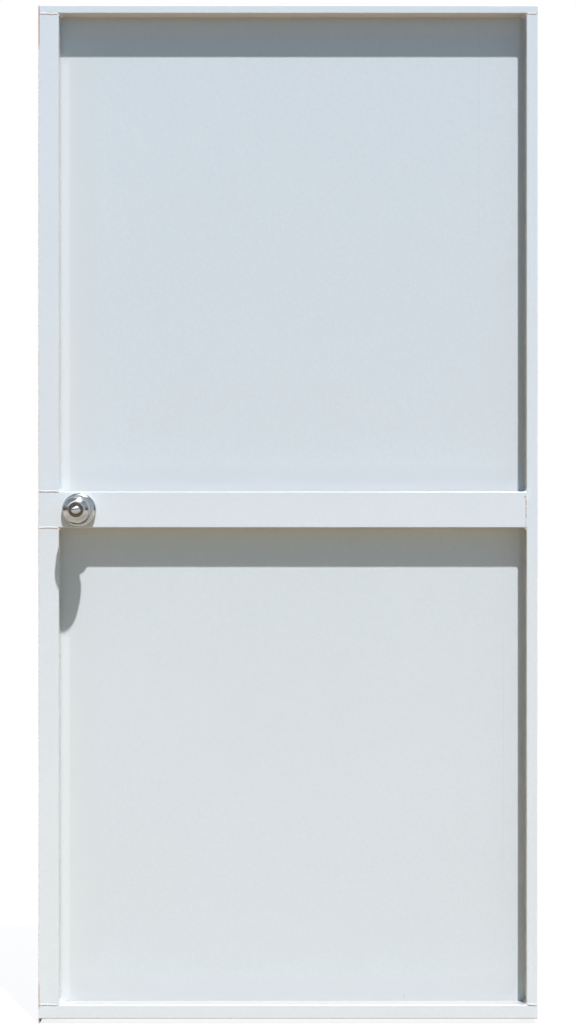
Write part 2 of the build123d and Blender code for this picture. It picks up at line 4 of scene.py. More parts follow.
import bpy
import numpy as np
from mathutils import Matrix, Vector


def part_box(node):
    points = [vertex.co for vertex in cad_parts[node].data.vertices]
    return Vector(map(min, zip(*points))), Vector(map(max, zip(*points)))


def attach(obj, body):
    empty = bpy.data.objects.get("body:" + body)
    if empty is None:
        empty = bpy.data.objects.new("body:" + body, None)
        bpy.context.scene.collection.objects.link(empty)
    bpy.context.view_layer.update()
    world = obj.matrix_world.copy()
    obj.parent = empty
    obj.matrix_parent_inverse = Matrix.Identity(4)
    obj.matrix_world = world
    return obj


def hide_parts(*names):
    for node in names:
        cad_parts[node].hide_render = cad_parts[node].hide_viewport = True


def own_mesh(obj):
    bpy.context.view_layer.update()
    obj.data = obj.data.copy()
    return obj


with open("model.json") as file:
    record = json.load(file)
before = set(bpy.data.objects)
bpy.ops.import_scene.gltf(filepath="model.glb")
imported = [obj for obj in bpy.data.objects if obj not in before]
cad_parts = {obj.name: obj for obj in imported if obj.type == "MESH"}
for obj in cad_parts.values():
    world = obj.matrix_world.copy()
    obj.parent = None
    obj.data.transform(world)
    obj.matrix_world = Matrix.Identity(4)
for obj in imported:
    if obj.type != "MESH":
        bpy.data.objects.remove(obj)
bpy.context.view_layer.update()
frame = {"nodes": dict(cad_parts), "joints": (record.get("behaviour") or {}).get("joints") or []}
nodes = frame["nodes"]
joints = {joint["name"]: joint for joint in frame["joints"]}
scene = bpy.context.scene
metre = 1000.0  # the new pieces are worked out in millimetres
print("frame loaded:", len(nodes), "nodes")

# places on the leaf and the frame that the marks and welds go by, in metres
leftEdge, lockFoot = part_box("lock_rail")[0].xz
rightInner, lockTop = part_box("lock_rail")[1].xz  # the lock rail ends at the hinge stile
leftInner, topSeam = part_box("lock_stile_upper")[1].xz  # the stile ends under the top rail
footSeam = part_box("bottom_rail")[1].z
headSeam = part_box("frame_head")[0].z


# mesh helpers: every new shape is a grid of points worked out as whole arrays

def gridFaces(rows, cols, closeRows, closeCols):
    # quads between neighbouring rows and columns, wrapping where asked
    row = np.arange(rows if closeRows else rows - 1)
    col = np.arange(cols if closeCols else cols - 1)
    a, b = np.meshgrid(row, col, indexing="ij")
    a2, b2 = (a + 1) % rows, (b + 1) % cols
    quads = np.stack([a * cols + b, a * cols + b2, a2 * cols + b2, a2 * cols + b], axis=-1)
    return quads.reshape(-1, 4)


def tubeFaces(rows, cols, first):
    # quads round a row of rings and one flat face over each end, with the points counted from the first
    quads = gridFaces(rows, cols, False, True) + first
    ring = np.arange(cols) + first
    return quads.tolist() + [ring[::-1].tolist(), (ring + (rows - 1) * cols).tolist()]


def joinParts(parts):
    # the rings of several tubes, one tube after another, as one list of points with all their faces
    points, faces, first = [], [], 0
    for grid in parts:
        rows, cols = grid.shape[:2]
        points.append(grid.reshape(-1, 3))
        faces += tubeFaces(rows, cols, first)
        first += rows * cols
    return np.vstack(points), faces


def meshPiece(name, points, faces, material, smoothAngle):
    # one object of the points and faces, shaded smooth but for edges sharper than the angle in degrees
    mesh = bpy.data.meshes.new(name)
    mesh.from_pydata(points.reshape(-1, 3).tolist(), [], faces)
    mesh.polygons.foreach_set("use_smooth", np.ones(len(mesh.polygons), dtype=bool))
    mesh.set_sharp_from_angle(angle=math.radians(smoothAngle))
    mesh.materials.append(material)
    mesh.update()
    piece = bpy.data.objects.new(name, mesh)
    scene.collection.objects.link(piece)
    return piece


def smoothCurve(points, headings, steps):
    # cubic stretches through the points over their chord lengths, bending evenly from one into the next,
    # and leaving the first point and reaching the last along the two headings
    p = np.asarray(points, float)
    chord = np.linalg.norm(np.diff(p, axis=0), axis=1)
    slope = np.vstack([headings[:1], np.diff(p, axis=0) / chord[:, None], headings[1:]])
    before, after = np.append(0, chord), np.append(chord, 0)
    system = np.diag(2 * (before + after)) + np.diag(chord, 1) + np.diag(chord, -1)
    bend = np.linalg.solve(system, 6 * np.diff(slope, axis=0))
    t = np.linspace(0, 1, steps, endpoint=False)[None, :, None]
    s = 1 - t
    straight = s * p[:-1, None] + t * p[1:, None]
    bow = (s**3 - s) * bend[:-1, None] + (t**3 - t) * bend[1:, None]
    curve = straight + bow * chord[:, None, None] ** 2 / 6
    return np.vstack([curve.reshape(-1, p.shape[1]), p[-1:]])


def turned(profile, place, face, side, turns):
    # a closed profile of radius and height turned about the knob's axis, height counted out of the face
    radius, height = np.asarray(profile, float).T[:, None, :]
    angle = np.linspace(0, 2 * math.pi, turns, endpoint=False)[:, None]
    x = place[0] + radius * np.cos(angle)
    z = place[1] + radius * np.sin(angle)
    y = face + side * height + 0 * x
    return np.stack([x, y, z], axis=-1) / metre


def turnedFaces(turns, count, side):
    # quads that close round the axis and round the profile, turned over for the leaf's back
    quads = gridFaces(turns, count, True, True)
    return (quads if side < 0 else quads[:, ::-1]).tolist()


# shader helpers
mixSockets = {"inputs": (0, 6, 7), "result": 2}  # a Mix node's factor and two colours, and its mixed colour


def feed(tree, socket, value):
    # a number or a colour is written on the socket, and another node's output is linked to it
    if isinstance(value, (int, float, tuple)):
        socket.default_value = value
    else:
        tree.links.new(value, socket)


def newGroup(name, inputs, outputs):
    # an empty node group, whose inputs and outputs are numbers but for the input called Vector;
    # the sockets to read from and to write to come back by name
    group = bpy.data.node_groups.new(name, "ShaderNodeTree")
    for label in inputs:
        kind = "NodeSocketVector" if label == "Vector" else "NodeSocketFloat"
        group.interface.new_socket(name=label, in_out="INPUT", socket_type=kind)
    for label in outputs:
        group.interface.new_socket(name=label, in_out="OUTPUT", socket_type="NodeSocketFloat")
    return group, group.nodes.new("NodeGroupInput").outputs, group.nodes.new("NodeGroupOutput").inputs


def useGroup(tree, group, inputs):
    # a group placed in a material with its inputs set or linked by name, and its outputs to read from
    node = tree.nodes.new("ShaderNodeGroup")
    node.node_tree = group
    for label, value in inputs.items():
        feed(tree, node.inputs[label], value)
    return node.outputs


def mathNode(tree, operation, *values):
    # one operation on up to three numbers or outputs
    node = tree.nodes.new("ShaderNodeMath")
    node.operation = operation
    for socket, value in zip(node.inputs, values):
        feed(tree, socket, value)
    return node.outputs[0]


def noiseNode(tree, vector, scale, detail, roughness):
    # a soft random number for each place, with features about one over the scale across
    node = tree.nodes.new("ShaderNodeTexNoise")
    node.inputs["Detail"].default_value = detail
    node.inputs["Roughness"].default_value = roughness
    feed(tree, node.inputs["Scale"], scale)
    tree.links.new(vector, node.inputs["Vector"])
    return node.outputs["Fac"]


def stretched(tree, vector, scale):
    # the place with each of its three numbers times its own scale
    node = tree.nodes.new("ShaderNodeMapping")
    node.inputs["Scale"].default_value = scale
    tree.links.new(vector, node.inputs["Vector"])
    return node.outputs["Vector"]


def split(tree, vector):
    # the three numbers of a vector, by axis
    node = tree.nodes.new("ShaderNodeSeparateXYZ")
    tree.links.new(vector, node.inputs["Vector"])
    return node.outputs


def mixColour(tree, factor, first, second):
    # the first colour giving way to the second as the factor goes from 0 to 1
    node = tree.nodes.new("ShaderNodeMix")
    node.data_type = "RGBA"
    for index, value in zip(mixSockets["inputs"], (factor, first, second)):
        feed(tree, node.inputs[index], value)
    return node.outputs[mixSockets["result"]]


def remap(tree, value, span, result=(0.0, 1.0)):
    # the value carried in a straight line from the span to the result, and held beyond its ends
    node = tree.nodes.new("ShaderNodeMapRange")
    node.clamp = True
    tree.links.new(value, node.inputs["Value"])
    for label, number in zip(("From Min", "From Max", "To Min", "To Max"), (*span, *result)):
        node.inputs[label].default_value = number
    return node.outputs["Result"]


def newMaterial(name):
    # a material with its shader, and the place on the piece that its patterns go by
    material = bpy.data.materials.new(name)
    material.use_nodes = True
    tree = material.node_tree
    place = tree.nodes.new("ShaderNodeTexCoord").outputs["Object"]
    return material, tree, tree.nodes["Principled BSDF"], place


def bump(tree, shader, height, distance):
    # the shader's normal tilted by the slope of the height, which stands for so many metres
    node = tree.nodes.new("ShaderNodeBump")
    node.inputs["Distance"].default_value = distance
    node.inputs["Strength"].default_value = 1.0
    tree.links.new(height, node.inputs["Height"])
    tree.links.new(node.outputs["Normal"], shader.inputs["Normal"])


# effects that several finishes share; each noise has its detail and roughness
mottleNoise = {
    "cloud": (4.0, 0.55), "runs": (3.0, 0.5), "peel": (2.0, 0.45), "dust": (6.0, 0.7), "fret": (2.0, 0.5),
    "runStretch": (34.0, 34.0, 1.1), "runScale": 1.0, "dustScale": 90.0, "dustSpan": (0.56, 0.74),
    "fretScale": 240.0,
}
handlingNoise = {"smear": (5.0, 0.6), "hair": (3.0, 0.6), "hairStretch": (1.0, 1.0, 0.06)}


def makeMottle(noise):
    # five noises: soft cloudy shade, runs drawn out down the face, the pebbled skin of sprayed paint,
    # dust cut down to its peaks, and a fine fret
    inputs, outputs = ("Vector", "Cloud Scale", "Peel Scale"), ("Cloud", "Runs", "Peel", "Dust", "Fret")
    group, given, result = newGroup("paintMottle", inputs, outputs)
    vector = given["Vector"]
    drawnDown = stretched(group, vector, noise["runStretch"])
    dust = noiseNode(group, vector, noise["dustScale"], *noise["dust"])
    made = {
        "Cloud": noiseNode(group, vector, given["Cloud Scale"], *noise["cloud"]),
        "Runs": noiseNode(group, drawnDown, noise["runScale"], *noise["runs"]),
        "Peel": noiseNode(group, vector, given["Peel Scale"], *noise["peel"]),
        "Dust": remap(group, dust, noise["dustSpan"]),
        "Fret": noiseNode(group, vector, noise["fretScale"], *noise["fret"]),
    }
    for label, output in made.items():
        group.links.new(output, result[label])
    return group


def makeBand():
    # 1 within a half width of a place along one number, fading out over the soft edge
    group, given, result = newGroup("markBand", ("Value", "Place", "Half Width", "Soft"), ("Mask",))
    away = mathNode(group, "ABSOLUTE", mathNode(group, "SUBTRACT", given["Value"], given["Place"]))
    past = mathNode(group, "SUBTRACT", away, given["Half Width"])
    ratio = mathNode(group, "DIVIDE", past, given["Soft"])
    group.links.new(remap(group, ratio, (0.0, 1.0), (1.0, 0.0)), result["Mask"])
    return group


def makeHandling(noise):
    # two noises on bright metal: soft smears, and fine hairlines drawn out along Z
    inputs, outputs = ("Vector", "Smear Scale", "Hair Scale"), ("Smear", "Hair")
    group, given, result = newGroup("metalHandling", inputs, outputs)
    drawn = stretched(group, given["Vector"], noise["hairStretch"])
    smear = noiseNode(group, given["Vector"], given["Smear Scale"], *noise["smear"])
    hair = noiseNode(group, drawn, given["Hair Scale"], *noise["hair"])
    group.links.new(smear, result["Smear"])
    group.links.new(hair, result["Hair"])
    return group


def makeRing():
    # 1 inside a circle about an axis along Y, and only beyond a depth on either side
    inputs = ("Vector", "Centre X", "Centre Z", "Radius", "Depth")
    group, given, result = newGroup("sunkRing", inputs, ("Mask",))
    at = split(group, given["Vector"])
    offX = mathNode(group, "SUBTRACT", at["X"], given["Centre X"])
    offZ = mathNode(group, "SUBTRACT", at["Z"], given["Centre Z"])
    square = mathNode(group, "MULTIPLY_ADD", offX, offX, mathNode(group, "MULTIPLY", offZ, offZ))
    inside = mathNode(group, "LESS_THAN", mathNode(group, "SQRT", square), given["Radius"])
    deep = mathNode(group, "GREATER_THAN", mathNode(group, "ABSOLUTE", at["Y"]), given["Depth"])
    group.links.new(mathNode(group, "MULTIPLY", inside, deep), result["Mask"])
    return group


mottle = makeMottle(mottleNoise)
band = makeBand()
handling = makeHandling(handlingNoise)
sunkRing = makeRing()

# paint: each span gives where a noise, or a face's upward tilt, starts to tell and where it tells fully,
# and the wave of the sheet has the detail and roughness of its noise
paintSpans = {
    "cloud": (0.3, 0.7), "runs": (0.55, 0.8), "grain": (0.3, 0.7), "broken": (0.42, 0.58),
    "dustAndTopShade": (0.5, 0.9), "paintedBounce": (-0.5, -0.9),
}
paintFilm = {"refraction": 1.48, "relief": 0.001, "wave": (1.0, 0.4)}


def mark(x, z, strength, colour, worn=False):
    # a patch of another colour: x and z each give its place, half width and soft edge in metres,
    # and where it is worn the fret breaks it up
    return {"x": x, "z": z, "strength": strength, "colour": colour, "worn": worn}


def bandAt(tree, value, span):
    # the band's mask for a place, half width and soft edge
    place, half, soft = span
    return useGroup(tree, band, {"Value": value, "Place": place, "Half Width": half, "Soft": soft})["Mask"]


def coatPaint(name, coat):
    # sprayed paint: clouded colour, faint runs, grime and grain, the piece's marks one over another,
    # then dust with painted shade on faces that look up, and a yellower painted warm bounce light on faces
    # that look down
    material, tree, shader, place = newMaterial(name)
    scales = {"Cloud Scale": coat["cloudScale"], "Peel Scale": coat["peelScale"]}
    tone = useGroup(tree, mottle, {"Vector": place, **scales})
    at = split(tree, place)
    colour = mixColour(tree, remap(tree, tone["Cloud"], paintSpans["cloud"]), coat["shade"], coat["colour"])
    runs = remap(tree, tone["Runs"], paintSpans["runs"], (0.0, coat["runs"]))
    colour = mixColour(tree, runs, colour, coat["runColour"])
    dust = mathNode(tree, "MULTIPLY", tone["Dust"], coat["dust"])
    colour = mixColour(tree, dust, colour, coat["grime"])
    grain = remap(tree, tone["Fret"], paintSpans["grain"], (0.0, coat["grain"]))
    colour = mixColour(tree, grain, colour, coat["runColour"])
    broken = remap(tree, tone["Fret"], paintSpans["broken"], (coat["unbroken"], 1.0))
    for spot in coat["marks"]:
        across = bandAt(tree, at["X"], spot["x"])
        mask = mathNode(tree, "MULTIPLY", across, bandAt(tree, at["Z"], spot["z"]))
        if spot["worn"]:
            mask = mathNode(tree, "MULTIPLY", mask, broken)
        mask = mathNode(tree, "MULTIPLY", mask, spot["strength"])
        colour = mixColour(tree, mask, colour, spot["colour"])
    # dust and painted shade: faces that look up are darkened, partly as dust and partly to hold back their
    # light
    upward = split(tree, tree.nodes.new("ShaderNodeNewGeometry").outputs["Normal"])["Z"]
    dustAndTopShadeMask = remap(tree, upward, paintSpans["dustAndTopShade"], (0.0, coat["dustAndTopShade"]))
    colour = mixColour(tree, dustAndTopShadeMask, colour, coat["dustAndTopShadeColour"])
    # painted warm bounce light: faces that look down take a yellower tone
    if "paintedBounce" in coat:
        paintedBounceMask = remap(tree, upward, paintSpans["paintedBounce"], (0.0, coat["paintedBounce"]))
        colour = mixColour(tree, paintedBounceMask, colour, coat["paintedBounceColour"])
    tree.links.new(colour, shader.inputs["Base Color"])
    rough = remap(tree, tone["Cloud"], paintSpans["cloud"], coat["rough"])
    tree.links.new(rough, shader.inputs["Roughness"])
    shader.inputs["IOR"].default_value = paintFilm["refraction"]
    height = mathNode(tree, "MULTIPLY", tone["Peel"], coat["peel"])
    if "wave" in coat:
        sheet = stretched(tree, place, coat["waveStretch"])
        wave = noiseNode(tree, sheet, coat["waveScale"], *paintFilm["wave"])
        height = mathNode(tree, "ADD", height, mathNode(tree, "MULTIPLY", wave, coat["wave"]))
    bump(tree, shader, height, paintFilm["relief"])
    return material


# the border's tubes: rust just below the seams, a rust-coloured painted shade down the left edge, a greyer
# lock-stile return, and painted warm bounce light on the hinge stile's return
# rust, whose colour also paints the shade down the left edge
rustAndEdgeShade = (0.45, 0.23, 0.155, 1.0)
greyed = (0.66, 0.66, 0.65, 1.0)
paintedWarmBounce = (0.62, 0.58, 0.515, 1.0)
smear = (0.80, 0.84, 0.86, 1.0)
leftEnd = (leftEdge + 0.0205, 0.0205, 0.001)
rightEnd = (rightInner + 0.0115, 0.011, 0.001)
leftReturn = (leftInner, 0.0008, 0.0006)
rightReturn = (rightInner, 0.0006, 0.0006)
upperReturn = (1.53, 0.455, 0.008)
lowerReturn = (0.516, 0.47, 0.008)
seamRust = {
    "soft": 0.001,
    "lines": (  # end of the seam, height of the seam, drop below it, half width, strength
        (leftEnd, topSeam, 0.0016, 0.0006, 0.55), (rightEnd, topSeam, 0.0016, 0.0006, 0.5),
        (leftEnd, lockTop, 0.0012, 0.0007, 0.75), (leftEnd, lockFoot, 0.0017, 0.0007, 0.7),
        (leftEnd, footSeam, 0.0012, 0.0006, 0.7), (rightEnd, footSeam, 0.0012, 0.0008, 0.8),
    ),
}
seamMarks = [
    mark(end, (seam - drop, half, seamRust["soft"]), strength, rustAndEdgeShade, True)
    for end, seam, drop, half, strength in seamRust["lines"]
]
tubeCoat = {
    "colour": (0.69, 0.755, 0.797, 1.0), "shade": (0.67, 0.735, 0.777, 1.0), "cloudScale": 2.4,
    "peelScale": 520.0, "peel": 0.02, "rough": (0.15, 0.22), "grain": 0.3, "unbroken": 0.15,
    "runs": 0.05, "runColour": (0.60, 0.64, 0.675, 1.0), "dust": 0.03, "grime": (0.33, 0.25, 0.19, 1.0),
    # the tops take dust with painted shade, and the undersides a painted warm bounce light
    "dustAndTopShade": 0.9, "dustAndTopShadeColour": (0.475, 0.457, 0.43, 1.0),
    "paintedBounce": 0.9, "paintedBounceColour": (0.80, 0.74, 0.62, 1.0),
    "marks": seamMarks + [
        # the weld at the lock rail's right end, and a spot beside it
        mark((rightInner - 0.0007, 0.0006, 0.0009), (1.034, 0.019, 0.004), 0.7, rustAndEdgeShade, True),
        mark((rightInner - 0.0027, 0.0012, 0.001), (1.0555, 0.0012, 0.001), 0.6, rustAndEdgeShade),
        # the whole left edge: a broken rust-coloured line that is painted shade on the edge's rounding
        mark((leftEdge + 0.0008, 0.0005, 0.0006), (1.03, 0.99, 0.02), 0.35, rustAndEdgeShade, True),
        # the stiles' returns in both recesses: the lock stile's greyer, the hinge stile's tan with painted
        # warm bounce light
        mark(leftReturn, upperReturn, 1.0, greyed),
        mark(leftReturn, lowerReturn, 1.0, greyed),
        # painted warm bounce light on the hinge stile's return
        mark(rightReturn, upperReturn, 1.0, paintedWarmBounce),
        mark(rightReturn, lowerReturn, 1.0, paintedWarmBounce),
        # a pale smear over that weld, and rust at the left edge's two ends
        mark((rightInner + 0.0043, 0.004, 0.002), (1.0607, 0.010, 0.004), 0.5, smear, True),
        mark((leftEdge + 0.0015, 0.0010, 0.0006), (2.0, 0.035, 0.015), 0.75, rustAndEdgeShade),
        mark((leftEdge + 0.0015, 0.0008, 0.0006), (0.055, 0.02, 0.01), 0.6, rustAndEdgeShade),
    ],
}

# the skin: darker beside the lock stile, with a paler strip there that is painted sunlight thrown back off
# the stile's return, darker bands just above the ledges, painted shade in the corner beside the hinge
# stile, two long runs and a speck
film = (0.618, 0.672, 0.692, 1.0)
aboveLedgeDarkening = (0.572, 0.602, 0.62, 1.0)
paintedSunReflection = (0.72, 0.757, 0.768, 1.0)
paintedCornerShade = (0.53, 0.58, 0.61, 1.0)
longRun = (0.46, 0.50, 0.53, 1.0)
speck = (0.2, 0.2, 0.2, 1.0)
leftSide = (leftInner, 0.028, 0.06)
sunReflectionStrip = (leftInner + 0.011, 0.0062, 0.0022)
panelWidth = (0.01, 0.43, 0.04)
skinCoat = {
    "colour": (0.642, 0.713, 0.752, 1.0), "shade": (0.622, 0.693, 0.732, 1.0), "cloudScale": 1.3,
    "peelScale": 480.0, "peel": 0.02, "rough": (0.19, 0.25), "grain": 0.3, "unbroken": 0.6,
    "runs": 0.05, "runColour": (0.57, 0.61, 0.65, 1.0), "dust": 0.02, "grime": (0.36, 0.31, 0.26, 1.0),
    # the tops take dust with painted shade
    "dustAndTopShade": 0.6, "dustAndTopShadeColour": (0.475, 0.457, 0.43, 1.0),
    "wave": 0.4, "waveScale": 2.2, "waveStretch": (1.0, 1.0, 0.6),
    "marks": [
        mark((0.385, 0.0006, 0.0012), (1.79, 0.2, 0.03), 0.16, longRun, True),
        mark((0.435, 0.0006, 0.0012), (0.54, 0.22, 0.03), 0.14, longRun, True),
        # the skin darker beside the lock stile
        mark(leftSide, (1.505, 0.44, 0.02), 1.0, film),
        mark(leftSide, (0.5, 0.45, 0.02), 1.0, film),
        # the skin darker in bands just above the lock rail and the bottom rail
        mark(panelWidth, (lockTop, 0.004, 0.055), 1.0, aboveLedgeDarkening),
        mark(panelWidth, (footSeam, 0.004, 0.05), 1.0, aboveLedgeDarkening),
        # painted shade deepening into the corner beside the hinge stile
        mark((rightInner - 0.006, 0.0025, 0.003), (1.27, 0.75, 0.35), 0.8, paintedCornerShade),
        # painted reflected sunlight: a paler strip where the sun comes back off the lock stile's return
        mark(sunReflectionStrip, (1.505, 0.425, 0.012), 0.5, paintedSunReflection),
        mark(sunReflectionStrip, (0.412, 0.358, 0.012), 0.5, paintedSunReflection),
        mark((0.234, 0.0007, 0.0006), (footSeam + 0.0095, 0.0008, 0.0008), 0.6, speck),
    ],
}

# the frame: rust under the head and at the jambs' feet
frameWidth = (0.0, 0.52, 0.001)
frameCoat = {
    "colour": (0.66, 0.71, 0.75, 1.0), "shade": (0.63, 0.68, 0.72, 1.0), "cloudScale": 2.0,
    "peelScale": 520.0, "peel": 0.04, "rough": (0.32, 0.46), "grain": 0.3, "unbroken": 0.3,
    "runs": 0.08, "runColour": (0.55, 0.58, 0.60, 1.0), "dust": 0.06, "grime": (0.33, 0.28, 0.23, 1.0),
    # the tops take dust with painted shade, and the undersides a painted warm bounce light
    "dustAndTopShade": 0.8, "dustAndTopShadeColour": (0.42, 0.42, 0.42, 1.0),
    "paintedBounce": 0.3, "paintedBounceColour": (0.60, 0.58, 0.54, 1.0),
    "marks": [
        mark(frameWidth, (headSeam, 0.0004, 0.0014), 0.4, rustAndEdgeShade, True),
        mark(frameWidth, (0.004, 0.004, 0.02), 0.35, rustAndEdgeShade, True),
    ],
}
tubePaint = coatPaint("tubePaint", tubeCoat)
skinPaint = coatPaint("skinPaint", skinCoat)
framePaint = coatPaint("framePaint", frameCoat)

# metals, which go from clean to dull over the span of the smear's noise
smearSpan = (0.4, 0.75)
polishedMetal = {
    "colour": (0.66, 0.67, 0.68, 1.0), "dull": (0.56, 0.565, 0.57, 1.0), "edge": (0.45, 0.46, 0.47, 1.0),
    "smearScale": 70.0, "hairScale": 700.0, "rough": 0.07, "hairRough": 0.05, "smearRough": 0.05,
    "hairDepth": 0.000004,
}
platedMetal = {
    "colour": (0.56, 0.565, 0.56, 1.0), "dull": (0.42, 0.42, 0.40, 1.0), "edge": (0.9, 0.9, 0.9, 1.0),
    "smearScale": 40.0, "hairScale": 1100.0, "rough": 0.29, "hairRough": 0.16, "smearRough": 0.1,
    "hairDepth": 0.00002,
}


def brightMetal(name, metal):
    # metal whose colour goes duller and rougher with the smears and whose gloss is broken by hairlines,
    # with a darker sunk ring where it has one
    material, tree, shader, place = newMaterial(name)
    scales = {"Smear Scale": metal["smearScale"], "Hair Scale": metal["hairScale"]}
    touch = useGroup(tree, handling, {"Vector": place, **scales})
    smeared = remap(tree, touch["Smear"], smearSpan)
    colour = mixColour(tree, smeared, metal["colour"], metal["dull"])
    rough = mathNode(tree, "MULTIPLY_ADD", touch["Hair"], metal["hairRough"], metal["rough"])
    rough = mathNode(tree, "MULTIPLY_ADD", smeared, metal["smearRough"], rough)
    if "ring" in metal:
        ring = useGroup(tree, sunkRing, {"Vector": place, **metal["ring"]})["Mask"]
        colour = mixColour(tree, ring, colour, metal["ringColour"])
        rough = mathNode(tree, "MULTIPLY_ADD", ring, metal["ringRough"], rough)
    tree.links.new(colour, shader.inputs["Base Color"])
    tree.links.new(rough, shader.inputs["Roughness"])
    shader.inputs["Metallic"].default_value = 1.0
    shader.inputs["Specular Tint"].default_value = metal["edge"]
    bump(tree, shader, touch["Hair"], metal["hairDepth"])
    return material


polishedSteel = brightMetal("polishedSteel", polishedMetal)
platedSteel = brightMetal("platedSteel", platedMetal)

sealStrip = {
    "colour": (0.02, 0.02, 0.021, 1.0), "dustColour": (0.16, 0.15, 0.14, 1.0), "dust": 0.35,
    "cloudScale": 6.0, "grainScale": 700.0, "grain": 0.00006, "cloud": (0.3, 0.7), "rough": (0.55, 0.75),
}


def rubberStrip(name, strip):
    # dark rubber with dust in patches, its roughness following the clouds and its relief the grain
    material, tree, shader, place = newMaterial(name)
    scales = {"Cloud Scale": strip["cloudScale"], "Peel Scale": strip["grainScale"]}
    tone = useGroup(tree, mottle, {"Vector": place, **scales})
    dust = mathNode(tree, "MULTIPLY", tone["Dust"], strip["dust"])
    tree.links.new(mixColour(tree, dust, strip["colour"], strip["dustColour"]), shader.inputs["Base Color"])
    tree.links.new(remap(tree, tone["Cloud"], strip["cloud"], strip["rough"]), shader.inputs["Roughness"])
    bump(tree, shader, tone["Peel"], strip["grain"])
    return material


sealRubber = rubberStrip("sealRubber", sealStrip)

# every node that isn't named here is plated steel
finishes = {
    tubePaint: (
        "top_rail", "bottom_rail", "lock_rail", "hinge_stile", "lock_stile_upper", "lock_stile_lower",
    ),
    skinPaint: ("skin_panel",),
    framePaint: ("frame_head", "frame_hinge_jamb", "frame_latch_jamb", "frame_latch_lip"),
    polishedSteel: ("key_plug",),
    sealRubber: ("frame_seal",),
}
finishOf = {node: material for material, group in finishes.items() for node in group}
for name, obj in nodes.items():
    obj.data.materials.clear()
    obj.data.materials.append(finishOf.get(name, platedSteel))
print("finishes set on", len(nodes), "nodes")

# lockset: knobs, roses and turn button, in millimetres from the leaf's faces
knobAxis = joints["knob_turn"]["pos_m"]
lockset = {
    "place": (knobAxis[0] * metre, knobAxis[2] * metre), "turns": 128, "smoothAngle": 35.0,
    "frontFace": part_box("lock_rail")[0].y * metre, "backFace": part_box("skin_panel")[1].y * metre,
}
knobShape = {
    "neck": 12.5, "start": 6.0, "neckEnd": 16.5, "radius": 29.0, "face": 72.0, "lip": 0.8, "ring": 14.5,
    "floor": 68.0, "bore": 3.05, "sleeve": 5.02, "sleeveEnd": 60.0, "steps": 16,
    "swellShares": ((0.52, 0.285), (0.74, 0.385), (0.94, 0.5), (1.0, 0.61)),  # of the radius and the face
    "crownShares": ((0.975, 0.765), (0.885, 0.89), (0.71, 0.967)),
}
roseShape = {
    "bore": 13.2, "ease": 0.5, "height": 14.4, "collar": 13.4, "collarRadius": 16.6, "radius": 34.0,
    "edge": 6.0, "wall": 1.4, "steps": 12,
    "domeShares": ((0.735, 0.89), (0.9, 0.78), (0.98, 0.61)),  # of the radius and the height
    "innerShares": ((0.979, 0.631), (0.902, 0.769), (0.755, 0.869)),  # of the same, less the wall
}
knobMetal = {
    **polishedMetal, "ringColour": (0.17, 0.15, 0.14, 1.0), "ringRough": 0.3,
    "ring": {"Centre X": knobAxis[0], "Centre Z": knobAxis[2], "Radius": 0.01465, "Depth": 0.086},
}
knobSteel = brightMetal("knobSteel", knobMetal)


def knobLoop(knob):
    # the bulb's outline from the neck to the lip, then down the sunk ring, through the bore and back along
    # the sleeve
    waypoints = np.array(knob["swellShares"] + knob["crownShares"]) * (knob["radius"], knob["face"])
    start, end = (knob["neck"], knob["neckEnd"]), (knob["ring"] + knob["lip"], knob["face"])
    outside = smoothCurve(np.vstack([[start], waypoints, [end]]), ((0, 1), (-1, 0)), knob["steps"])
    sunk = [(knob["ring"], knob["face"] - knob["lip"]), (knob["ring"], knob["floor"])]
    bore = [(knob["bore"], knob["floor"]), (knob["bore"], knob["sleeveEnd"])]
    sleeve = [(knob["sleeve"], knob["sleeveEnd"]), (knob["sleeve"], knob["start"])]
    return np.vstack([outside, sunk, bore, sleeve, [(knob["neck"], knob["start"])]])


def roseLoop(rose):
    # the raised collar, the dome down to the straight edge, and back up along the inner wall
    bore, height, wall, ease = rose["bore"], rose["height"], rose["wall"], rose["ease"]
    collar = [(bore, height - ease), (bore + ease, height), (rose["collarRadius"] - wall, height)]
    waypoints = np.array(rose["domeShares"]) * (rose["radius"], height)
    start, end = (rose["collarRadius"], rose["collar"]), (rose["radius"], rose["edge"])
    dome = smoothCurve(np.vstack([[start], waypoints, [end]]), ((1, 0), (0, -1)), rose["steps"])
    innerRadius = rose["radius"] - wall
    edge = [(rose["radius"], 0), (innerRadius, 0), (innerRadius, rose["edge"])]
    inner = np.array(rose["innerShares"]) * (innerRadius, height - wall)
    return np.vstack([collar, dome, edge, inner, [(bore, rose["collar"] - wall)]])


def turnedPiece(name, loop, face, side, material):
    # a loop turned about the knob's axis: out of the front if the side is -1, out of the back if it is 1
    points = turned(loop, lockset["place"], face, side, lockset["turns"])
    faces = turnedFaces(lockset["turns"], len(loop), side)
    return meshPiece(name, points, faces, material, lockset["smoothAngle"])


for label, face, side in (("front", lockset["frontFace"], -1), ("back", lockset["backFace"], 1)):
    knob = turnedPiece(label + "_knob_shell", knobLoop(knobShape), face, side, knobSteel)
    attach(knob, "knobs")
    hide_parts(label + "_knob")
    rose = turnedPiece(label + "_rose_cover", roseLoop(roseShape), face, side, polishedSteel)
    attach(rose, "leaf")
    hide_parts(label + "_rose")

turnButton = {
    "top": 74.0, "foot": 69.1, "halfLength": 10.6, "halfHeight": 8.6, "fullness": 2.3,
    "rings": 48, "spokes": 144, "crowding": 0.7, "smoothAngle": 40.0,
}


